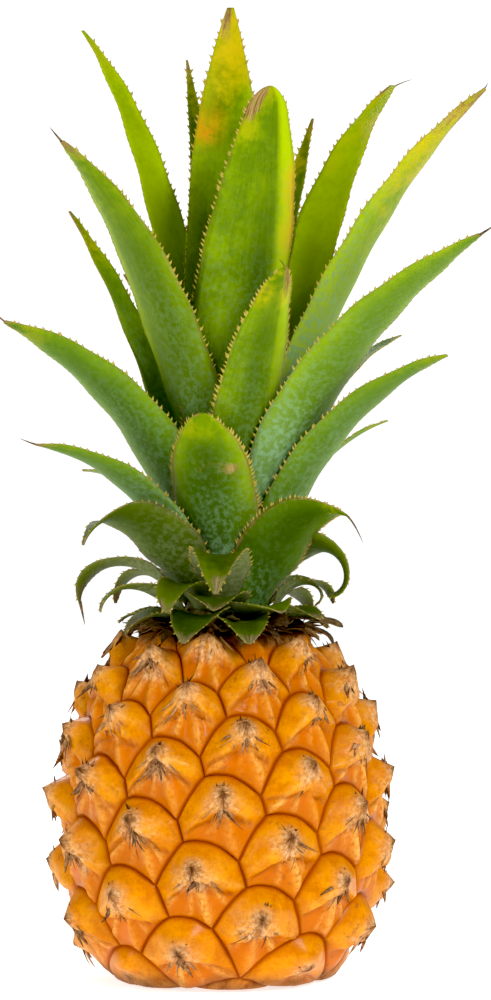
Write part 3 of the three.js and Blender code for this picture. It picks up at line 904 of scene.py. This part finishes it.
class Blade:
    """A leaf swept along a line that leans out from the stem. At the share t of its length it
    leans out by lean + bend t + hook t^4 and heads for turn + sway t, and its section is a
    gutter of half width w/2 with the half angle g: (w sin(g u) / 2g, w (1 - cos(g u)) / 2g)
    for u from -1 to 1."""

    def __init__(self, row, wider=1.0, stations=60, columns=13, wave=0.25, seed=0, rounded=0.0):
        turn, foot, lean, bend, hook, long, wide, roll, sway, blunt = row
        self.long, self.wide, self.columns, self.stations = long, wide * wider, columns, stations
        self.full = LEAF_THICKNESS + LEAF_THICKENING * wide
        fine = np.linspace(0, 1, LEAF_STEPS + 1)
        out = np.radians(lean + bend * fine + hook * fine ** 4)
        way = np.radians(turn + sway * fine)
        along = np.stack([np.sin(out) * np.sin(way), -np.sin(out) * np.cos(way), np.cos(out)], -1)
        first = stem_radius(foot) + LEAF_GAP + self.full / 2
        start = outward_at(turn) * first + np.array([0, 0, foot])
        run = np.concatenate([np.zeros((1, 3)), np.cumsum(along[:-1], 0)]) * long / LEAF_STEPS
        self.fine, self.path, self.along_fine = fine, start + run, along
        self.out_fine, self.way_fine = out, way
        self.roll, self.blunt, self.seed = roll, blunt, seed
        self.wave, self.rounded = wave, rounded
        # stations crowd towards the tip, where the outline turns
        self.t = 1 - (1 - np.linspace(0, 1, stations)) ** 1.25

    def frame_at(self, t):
        """Place, direction, the way across and the way inward at each share t."""
        place, along = (
            np.stack([np.interp(t, self.fine, line[:, c]) for c in range(3)], -1)
            for line in (self.path, self.along_fine)
        )
        along = unit(along)
        way, out = (np.interp(t, self.fine, line) for line in (self.way_fine, self.out_fine))
        across = np.stack([np.cos(way), np.sin(way), 0 * way], -1)
        across = turned(across, along, -np.radians(self.roll) * smooth(0, 0.35, t))
        inward = np.cross(along, across)
        half = (self.wide / 2 * lerp(0.5, 1, smooth(0, 0.32, t)) * lerp(1, self.blunt, t ** 3.2))
        if self.rounded:
            last = np.clip((t - 1 + self.rounded) / self.rounded, 0, 1)
            half = half * np.sqrt(1 - 0.985 * last ** 2)
        near = np.maximum(3, np.hypot(place[..., 0], place[..., 1]))
        wrap = np.minimum(1.05, half / near) * np.maximum(0, np.cos(out))
        gutter = np.maximum(wrap, lerp(0.62, 0.4, t))
        return place, along, across, inward, half, gutter

    def at(self, t, u, side):
        """The point at share t of the length, u across, on the upper (side 1) or lower (-1)
        face, or between them (0). Margins ripple by wave u^2 sin(t L / 3)."""
        place, _, across, inward, half, gutter = self.frame_at(t)
        x = half * np.sin(gutter * u) / gutter
        y = half * (1 - np.cos(gutter * u)) / gutter
        s = side * self.full / 2 * lerp(1, 0.30, u * u) * lerp(1, 0.5, t)
        phase = t * self.long * 0.33 + 2.1 * self.seed + 1.3 * np.sign(u)
        lumps = noise(np.stack([t * self.long, 9 * u, 0 * t + 5.0 * self.seed], -1), 9.0)
        ripple = self.wave * u * u * np.sin(phase) + 0.5 * self.wave * lumps
        ripple = ripple * smooth(0.02, 0.2, t) * smooth(1.02, 0.9, t)
        p = (place + across * (x - s * np.sin(gutter * u))[..., None]
             + inward * (y + s * np.cos(gutter * u) + ripple)[..., None])
        p[..., 0] += CROWN_SHIFT
        return p

    def body(self):
        """Both faces as one closed loft: across the upper face and back along the lower."""
        u = np.linspace(-1, 1, self.columns)
        t = self.t[:, None]
        ring_u = np.concatenate([u, u[::-1]])
        side = np.concatenate([-np.ones(self.columns), np.ones(self.columns)])
        tt, uu = np.broadcast_arrays(t, ring_u[None])
        ss = np.broadcast_to(side[None], tt.shape)
        p = self.at(tt, uu, ss)
        around = 2 * self.columns
        faces = loft_faces(self.stations, around)
        # each end is closed by quads between the two faces
        j = np.arange(self.columns - 1)
        foot = np.stack([j, around - 1 - j, around - 2 - j, j + 1], -1)
        tip = (foot + (self.stations - 1) * around)[:, ::-1]
        marks = {"t": tt.ravel(), "u": uu.ravel(), "side": ss.ravel()}
        return p.reshape(-1, 3), np.concatenate([faces, foot, tip]), marks, (tt.ravel(), uu.ravel())

    def spines(self, every, size, chance, start=0.06, stop=0.975):
        """Hooked spines on both margins: each a closed four-sided thorn in two steps, leaning
        towards the tip."""
        n = max(2, int(self.long * (stop - start) / every))
        t = np.linspace(start, stop, n)
        t = np.clip(t + chance.normal(0, 0.25 * every / self.long, n), start, stop)
        t = np.tile(t, 2)
        u = np.repeat([-1.0, 1.0], n)
        _, _, across, inward, half, gutter = self.frame_at(t)
        edge = self.at(t, u, 0 * t)
        outward = (across * (u * np.cos(gutter * u))[:, None]
                   + inward * (np.sin(gutter * np.abs(u)))[:, None])
        along = unit(self.at(t + 0.002, u, 0 * t) - self.at(t - 0.002, u, 0 * t))
        outward = unit(outward - along * (outward * along).sum(-1, keepdims=True))
        face = np.cross(along, outward)
        tall = size * chance.uniform(0.65, 1.25, 2 * n) * lerp(1.0, 0.7, t)
        tall = tall * smooth(-0.2, 0.7, half)
        wide, thick = 0.55 * tall, np.full(2 * n, 0.18)

        def ring(height, lean, w, h):
            middle = edge + outward * height[:, None] + along * lean[:, None]
            return np.stack([middle - along * w[:, None], middle + face * h[:, None],
                             middle + along * w[:, None], middle - face * h[:, None]], 1)

        rings = np.stack([
            ring(-0.22 + 0 * tall, -0.12 * tall, wide * 1.25, thick * 1.2),
            ring(0.42 * tall, 0.10 * tall, wide * 0.62, thick * 0.8),
            ring(tall, 0.62 * tall, wide * 0.07, thick * 0.12),
        ], 1)
        one = loft_faces(3, 4)
        caps = np.array([[3, 2, 1, 0], [8, 9, 10, 11]])
        one = np.concatenate([one, caps])
        # along, outward and face are right-handed on both margins, so all thorns face out
        faces = one[None] + (np.arange(2 * n) * 12)[:, None, None]
        tt = np.broadcast_to(t[:, None], (2 * n, 12)).ravel()
        uu = np.broadcast_to(u[:, None], (2 * n, 12)).ravel()
        return rings.reshape(-1, 3), faces.reshape(-1, 4), tt, uu


def leaf_marks(t, u, side, spine, style, seed):
    """What the finish reads at each point: scurf towards the foot and on the underside, painted
    shade down the middle of the gutter, a darker leaf below its tip where dark is set, margins,
    a strip on the right and leaves that lie in shade painted brighter as if lit, yellow and
    brown towards the tip, and single spots."""
    below = (side <= 0).astype(float)
    wander = 0.09 * noise(np.stack([t * 9, u * 1.5, 0 * t + seed * 3.3], -1), 1.0)
    tip = t + wander
    edge = np.abs(u)
    gutter_shade = bell(u - style["band_at"], style["band_wide"])
    marks = dict(
        under=style["under"] * below,
        scurf=np.clip(style["scurf"] * smooth(style["scurf_to"], 0.02, tip)
                      + style["bloom"] * below * smooth(0.95, 0.3, tip), 0, 1),
        # painted shade down the middle of the gutter; dark also darkens the whole leaf below its
        # tip
        gutter_shade=(style["dark"] * smooth(1.0, 0.8, tip)
              + style["gutter_shade"] * gutter_shade * smooth(0.95, 0.6, tip)),
        # painted lighting: pale brightens a leaf that lies in shade; margins and a right-hand strip
        # are painted brighter as if lit from the sides
        painted_light=(style["pale"] + style["painted_light"] * smooth(0.35, 0.95, edge) * smooth(0.1, 0.5, tip)
               + style["painted_light_right"] * smooth(0.3, 0.6, u) * smooth(0.1, 0.35, tip)),
        yellow=style["yellow"] * smooth(style["yellow_from"], 1.0, tip),
        orange=0 * t,
        brown=np.maximum(smooth(style["brown_from"], 1.0, tip),
                         style["rust"] * smooth(0.93, 1.0, edge + 0.4 * wander)),
        spine=spine,
    )
    for key, at, across, long, wide, much in style["spots"]:
        spot = much * bell(t - at + wander, long) * bell(u - across, wide)
        marks[key] = np.maximum(marks[key], spot)
    return marks


def grow_leaf(kind, number, row, finish):
    """One leaf and its spines as one piece in place of the CAD leaf of the same number."""
    name = "%s_%02d" % (kind, number)
    style = {**EVERY_LEAF, **PLAIN[kind], **STYLE.get(name, {})}
    seed = len(kind) * 31 + number * 7
    row = [*row[:7], row[7] + style["turn_face"], *row[8:]]
    chance = np.random.default_rng(seed)
    stations = max(FEWEST_STATIONS, min(MOST_STATIONS, int(row[5] * STATIONS_PER_MM)))
    blade = Blade(row, style["wider"], stations, wave=style["wave"], seed=seed % 13,
                  rounded=style["rounded"])
    points, faces, own, (tt, uu) = blade.body()
    spine_points, spine_faces, st, su = blade.spines(style["every"], style["spine"], chance)
    t = np.concatenate([tt, st])
    u = np.concatenate([uu, su])
    side = np.concatenate([own["side"], np.sign(chance.normal(size=len(st)))])
    spine = np.concatenate([0 * tt, 1 + 0 * st])
    marks = leaf_marks(t, u, side, spine, style, seed)
    faces = np.concatenate([faces, spine_faces + len(points)])
    uv = np.stack([u * 0.5, t * row[5] / 60.0 + seed], -1)[faces.ravel()]
    points = np.concatenate([points, spine_points])
    add_piece(name + "_blade", points, [faces], finish, marks, uv, stands_for=name)


# Every leaf's looks, then what is different on its kind, then on that one leaf.
# wider: width over the CAD leaf's. rounded: share of its length in which the tip rounds off.
# turn_face: degrees about its own length. every, spine: spacing and height of the spines.
# spots: mark, place along and across, length and width, and how much of it.
# pale, light and painted_light_right are painted lighting; band is painted shade down the gutter,
# and dark darkens a leaf below its tip.
EVERY_LEAF = dict(
    wider=1.0, rounded=0.0, turn_face=0, wave=0.22, every=1.9, spine=0.95, under=0.7,
    scurf=0.5, scurf_to=0.5, bloom=0.25, dark=0.0, gutter_shade=0.35, band_at=0.0, band_wide=0.45,
    pale=0.0, painted_light=0.25, painted_light_right=0.0, yellow=0.35, yellow_from=0.72, brown_from=0.95,
    rust=0.25, spots=(),
)
PLAIN = {
    "leaf_tall": dict(
        every=2.0, spine=1.15, scurf=0.55, scurf_to=0.55, bloom=0.25, gutter_shade=0.3, painted_light=0.3,
        yellow=0.3,
    ),
    "leaf_spreading": dict(
        every=1.75, spine=1.05, scurf=0.9, scurf_to=0.5, bloom=0.35, gutter_shade=0.3, painted_light=0.2,
        yellow=0.2,
    ),
    "leaf_curled": dict(
        every=1.7, spine=0.9, scurf=0.7, scurf_to=0.8, bloom=0.6, gutter_shade=0.2, painted_light=0.1,
        yellow=0.1, brown_from=0.82, rust=0.5, wave=0.4,
    ),
}
STYLE = {
    "leaf_tall_01": dict(
        wider=1.22, yellow=0.8, yellow_from=0.74, painted_light=0.5, scurf=0.6, scurf_to=0.75,
        brown_from=0.975, pale=0.1, spots=[("orange", 0.80, 0.75, 0.05, 0.5, 1.0)],
    ),
    "leaf_tall_02": dict(
        under=0.1, wider=1.32, rounded=0.05, every=1.4, gutter_shade=1.0, band_at=0.1, band_wide=0.30,
        painted_light=0.12, painted_light_right=1.2, yellow=0.2, scurf=0.7, scurf_to=0.45, brown_from=0.99,
        spots=[("yellow", 0.74, 0.9, 0.07, 0.3, 1.0), ("orange", 0.70, 1.0, 0.05, 0.12, 0.9)],
    ),
    "leaf_tall_03": dict(
        under=0.1, every=1.15, spine=1.2, wider=1.5, painted_light=0.1, rounded=0.10, painted_light_right=0.8,
        gutter_shade=0.9, band_at=-0.1, band_wide=0.4, scurf=0.2, brown_from=0.97,
        spots=[("brown", 0.97, 0.6, 0.03, 0.4, 0.8)],
    ),
    "leaf_tall_04": dict(turn_face=14, pale=0.75, painted_light=0.25, under=0.2, gutter_shade=0.0, scurf=0.3),
    "leaf_tall_05": dict(
        under=0.3, wider=1.28, every=1.8, painted_light=0.15, gutter_shade=0.5, band_at=0.3, dark=0.15,
        spots=[("painted_light", 0.5, -0.85, 1.2, 0.22, 0.9)], scurf=0.75, scurf_to=0.6, yellow=0.2,
        brown_from=0.94, rust=0.4,
    ),
    "leaf_tall_06": dict(turn_face=20, wider=1.15, scurf=0.9, scurf_to=0.95, bloom=0.7),
    "leaf_tall_07": dict(
        turn_face=-17, wider=1.1, scurf=0.4, bloom=0.1, pale=0.9, painted_light=0.1, under=0.1,
        gutter_shade=0.05, yellow=0.35,
    ),
    "leaf_tall_08": dict(
        turn_face=18, wider=1.15, under=0.5, yellow=0.6, yellow_from=0.5, brown_from=0.84,
        bloom=0.7, painted_light=0.4, pale=0.5,
    ),
    "leaf_tall_09": dict(dark=0.3),
    "leaf_tall_10": dict(dark=0.3, yellow=0.6),
    "leaf_spreading_01": dict(
        under=0.1, wider=1.06, rounded=0.34, every=0.95, spine=1.25, gutter_shade=0.95, band_wide=0.5,
        scurf=0.5, scurf_to=0.4, brown_from=0.99, rust=0.5, painted_light=0.6, dark=0.2,
        spots=[
            ("scurf", 0.12, 0.1, 0.1, 0.5, 1.0),
            ("painted_light", 0.95, 0.0, 0.16, 0.9, 0.4),
            ("brown", 0.68, 0.55, 0.02, 0.2, 0.9),
            ("brown", 0.70, 0.1, 0.008, 0.6, 0.5),
        ],
    ),
    "leaf_spreading_02": dict(under=0.4, gutter_shade=0.6, scurf=0.75, scurf_to=0.4, brown_from=0.93),
    "leaf_spreading_03": dict(scurf=0.85, scurf_to=0.8, brown_from=0.94),
    "leaf_spreading_04": dict(
        scurf=1.0, scurf_to=0.5, under=0.6, brown_from=0.94, painted_light=0.3, pale=0.1,
    ),
    "leaf_spreading_05": dict(scurf=0.85, scurf_to=0.35, brown_from=0.95, painted_light=0.2, dark=0.15),
    "leaf_spreading_07": dict(
        under=0.2, wider=1.05, every=1.1, gutter_shade=0.7, dark=0.55, scurf=0.35, scurf_to=0.3,
        bloom=0.1, rust=0.6,
    ),
    "leaf_curled_01": dict(
        under=0.3, wider=1.1, gutter_shade=0.6, dark=0.35, scurf=0.3, bloom=0.2, brown_from=0.93,
    ),
    "leaf_curled_04": dict(
        under=0.1, wider=1.1, gutter_shade=0.5, dark=0.3, scurf=0.2, bloom=0.2, brown_from=0.9,
        painted_light=0.3,
    ),
    "leaf_curled_06": dict(wider=1.3, scurf=0.5, brown_from=0.93),
    "leaf_curled_07": dict(wider=1.3, pale=0.2),
    "leaf_curled_08": dict(wider=1.45, scurf=0.8),
    "leaf_curled_09": dict(wider=1.45, pale=0.15),
    "leaf_curled_10": dict(wider=1.4, dark=0.5),
    "leaf_curled_11": dict(wider=1.4, scurf=0.9),
    "leaf_curled_12": dict(wider=1.3, scurf=0.9),
    "leaf_curled_14": dict(wider=1.3, brown_from=0.5),
}


def crown_stem():
    """The stem inside the crown: a cone with ringed leaf scars, r - 0.3 |sin|, closed above
    and below."""
    z = lerp(STEM_FOOT, STEM_CUT, np.linspace(0, 1, STEM_RINGS))
    theta = np.linspace(0, TURN, STEM_AROUND + 1)[:-1]
    zz, tt = np.meshgrid(z, theta, indexing="ij")
    rr = stem_radius(zz) - 0.3 * np.abs(np.sin(zz * 1.4 + 0.5 * np.sin(3 * tt)))
    rr = np.concatenate([0.02 + 0 * rr[:1], rr, 0.02 + 0 * rr[:1]])
    zz = np.concatenate([zz[:1], zz, zz[-1:] + 0.8])
    tt = np.concatenate([tt[:1], tt, tt[:1]])
    p = np.stack([rr * np.sin(tt) + CROWN_SHIFT, -rr * np.cos(tt), zz], -1)
    j = np.arange(STEM_AROUND)
    last = (STEM_RINGS + 1) * STEM_AROUND
    faces = [loft_faces(STEM_RINGS + 2, STEM_AROUND), j[None, ::-1], (last + j)[None]]
    place = np.stack([tt.ravel(), zz.ravel() / 20], -1)
    uv = np.concatenate([place[f.ravel()] for f in faces])
    return p.reshape(-1, 3), faces, {"pale": (0.4 + 0.3 * noise(p, 2.0)).ravel()}, uv


def neck_bracts():
    """Small dead bracts round the neck between the fruit and the lowest leaves, each a short
    blade that curls over the top fruitlets, and loose fibres between them."""
    chance = np.random.default_rng(23)
    points, faces, pale, uvs = [], [], [], []
    count = 0
    for k in range(BRACTS):
        turn = 360 * k / BRACTS * 3 + chance.uniform(-12, 12)
        ring = k % 3
        foot = BRACT_FEET[ring] + chance.uniform(-0.2, 0.5)
        # lean, bend, hook, long, wide, roll, sway
        ranges = (52, 88), (10, 70), (-40, 60), (4, 12), (3.5, 7.5), (-25, 25), (-14, 14)
        row = [turn, foot, *(chance.uniform(*within) for within in ranges), 0.06]
        blade = Blade(row, stations=10, columns=5, wave=0.5, seed=k)
        blade.full *= 0.55
        # it starts out on the shoulder of the neck instead of on the stem
        blade.path = blade.path + outward_at(turn) * BRACT_SHIFTS[ring]
        p, f, own, (tt, uu) = blade.body()
        points.append(p)
        faces.append(f + count)
        tone = chance.uniform(0.0, 0.9) + 0.3 * (own["side"] < 0) - 0.3 * tt
        pale.append(np.clip(tone, 0, 1))
        uvs.append(np.stack([uu * 0.5, tt * 0.3 + k], -1)[f.ravel()])
        count += len(p)

    def draw(low, high):
        return chance.uniform(low, high, NECK_FIBRES)

    def sideways(spread):
        return side * chance.normal(0, spread, NECK_FIBRES)[:, None]

    turn = draw(0, TURN)
    radial = np.stack([np.sin(turn), -np.cos(turn), 0 * turn], -1)
    side = np.stack([np.cos(turn), np.sin(turn), 0 * turn], -1)
    up = np.array([0, 0, 1])
    start = radial * draw(13, 19)[:, None] + np.array([CROWN_SHIFT, 0, 0])
    start[:, 2] = draw(92.4, 95.0)
    way = unit(radial + sideways(0.5) + up * draw(-0.3, 0.5)[:, None])
    bend = -up * draw(0.1, 0.9)[:, None] + sideways(0.3)
    p, f, tone = strands(start, way, bend, draw(3, 8), draw(0.12, 0.32), draw(1, 2.2),
                         draw(0.1, 1.2))
    points.append(p)
    faces.append(f + count)
    pale.append(tone)
    uvs.append(np.zeros((f.size, 2)))
    marks = {"pale": np.concatenate(pale)}
    return np.concatenate(points), [np.concatenate(faces)], marks, np.concatenate(uvs)


# The leaves that end in a thread: rows, number, which way it drops, how long it is.
THREADS = [
    (TALL, 5, (-0.2, 0.0, 0.3), 5.0),
    (TALL, 3, (-0.9, -0.1, 0.4), 2.5),
    (TALL, 7, (0.5, 0.0, -0.1), 6.0),
    (TALL, 8, (-0.2, 0.0, 0.1), 4.0),
    (SPREADING, 2, (-0.1, 0.0, 0.6), 6.0),
    (SPREADING, 3, (-0.4, 0.0, 0.3), 4.0),
    (SPREADING, 4, (0.3, 0.0, 0.2), 5.0),
    (SPREADING, 7, (0.1, 0.0, -0.9), 6.0),
    (CURLED, 2, (0.1, 0.0, -0.6), 4.0),
    (CURLED, 5, (-0.3, 0.0, -0.8), 6.0),
]


def tip_threads():
    """The dry threads that some leaves end in: thin curled fibres from the end of a leaf."""
    blades = [Blade(rows[number - 1]) for rows, number, _, _ in THREADS]
    end, middle = np.array([0.985]), np.array([0.0])
    start = np.array([blade.at(end, middle, middle)[0] for blade in blades])
    way = np.array([blade.along_fine[-1] for blade in blades])
    bend = np.array([thread[2] for thread in THREADS])
    long = np.array([thread[3] for thread in THREADS])
    same = np.ones(len(THREADS))
    return strands(start, way, bend, long, 0.28 * same, 1.6 * same, 0.5 * same, stations=12)


# ---- build the object -------------------------------------------------------------------
def add_fibres(name, made, finish):
    """A piece of strands, which need no UV map of their own."""
    points, faces, tone = made
    add_piece(name, points, [faces], finish, {"pale": tone}, np.zeros((faces.size, 2)))


*skin, sites = fruit_skin_mesh()
points, faces, marks, uv = skin
add_piece("fruit_skin_surface", points, faces, SKIN, marks, uv, stands_for="fruit")
add_fibres("dry_point_fibres", dry_point_fibres(sites), FIBRE)
points, faces, marks, uv = crown_stem()
add_piece("crown_stem_core", points, faces, STEM, marks, uv, stands_for="crown_stem")
points, faces, marks, uv = neck_bracts()
add_piece("neck_bracts", points, faces, BRACT, marks, uv)
add_fibres("leaf_tip_threads", tip_threads(), BRACT)
for kind, rows, finish, slot in (
    ("leaf_tall", TALL, GREEN, "leaf_green"),
    ("leaf_spreading", SPREADING, SILVER, "leaf_silver"),
    ("leaf_curled", CURLED, DRY, "leaf_dry"),
):
    for number, row in enumerate(rows, 1):
        grow_leaf(kind, number, row, finish)


# ---- floor, light and camera ------------------------------------------------------------
def floor():
    """A wide plain disc just under the fruit's flat spot."""
    corners = 64
    theta = np.linspace(0, TURN, corners + 1)[:-1]
    p = FLOOR_RADIUS * np.stack([np.sin(theta), -np.cos(theta), 0 * theta], -1)
    p[:, 2] = -FLOOR_DROP
    made = bpy.data.materials.new("pale_floor")
    made.use_nodes = True
    shader = made.node_tree.nodes["Principled BSDF"]
    shader.inputs["Base Color"].default_value = (0.93, 0.93, 0.925, 1)
    shader.inputs["Roughness"].default_value = 0.9
    shader.inputs["Specular IOR Level"].default_value = 0.0
    shader.inputs["Emission Color"].default_value = (1, 1, 1, 1)
    shader.inputs["Emission Strength"].default_value = FLOOR_GLOW
    mesh = bpy.data.meshes.new("floor")
    mesh.from_pydata((p * MM).tolist(), [], [list(range(corners))])
    mesh.materials.append(made)
    plane = bpy.data.objects.new("floor", mesh)
    bpy.context.scene.collection.objects.link(plane)


def soft_light(name, place, aim, size, power):
    """A round lamp at that place, turned to the height aim on the fruit's axis."""
    data = bpy.data.lights.new(name, "AREA")
    data.shape = "DISK"
    data.size = size
    data.energy = power
    lamp = bpy.data.objects.new(name, data)
    lamp.location = place
    down = Vector((0, 0, aim)) - Vector(place)
    lamp.rotation_euler = down.to_track_quat("-Z", "Y").to_euler()
    bpy.context.scene.collection.objects.link(lamp)


def studio():
    """A white room that lights the fruit less than it looks, and the lamps."""
    world = bpy.data.worlds.new("white_room")
    bpy.context.scene.world = world
    world.use_nodes = True
    tree = world.node_tree
    back = tree.nodes["Background"]
    back.inputs["Color"].default_value = (1, 1, 1, 1)
    seen = node(tree, "LightPath").outputs["Is Camera Ray"]
    strength = node(tree, "MapRange", _0=seen, _1=0.0, _2=1.0, _3=ROOM_LIGHT, _4=ROOM_SEEN)
    tree.links.new(strength.outputs[0], back.inputs["Strength"])
    for lamp in LAMPS:
        soft_light(*lamp)


def camera():
    """Looks at the middle of the whole from a little above it."""
    data = bpy.data.cameras.new("camera")
    data.sensor_width = 36
    data.lens = CAMERA_LENS
    lens = bpy.data.objects.new("camera", data)
    rise = math.radians(CAMERA_RISE)
    target = Vector(CAMERA_TARGET)
    back = Vector((0, -math.cos(rise), math.sin(rise)))
    lens.location = target + back * CAMERA_AWAY
    lens.rotation_euler = back.to_track_quat("Z", "Y").to_euler()
    bpy.context.scene.collection.objects.link(lens)
    bpy.context.scene.camera = lens


floor()
studio()
camera()
view = bpy.context.scene.view_settings
view.view_transform = "Standard"
view.use_curve_mapping = True
view.curve_mapping.black_level = (BLACK_LEVEL,) * 3
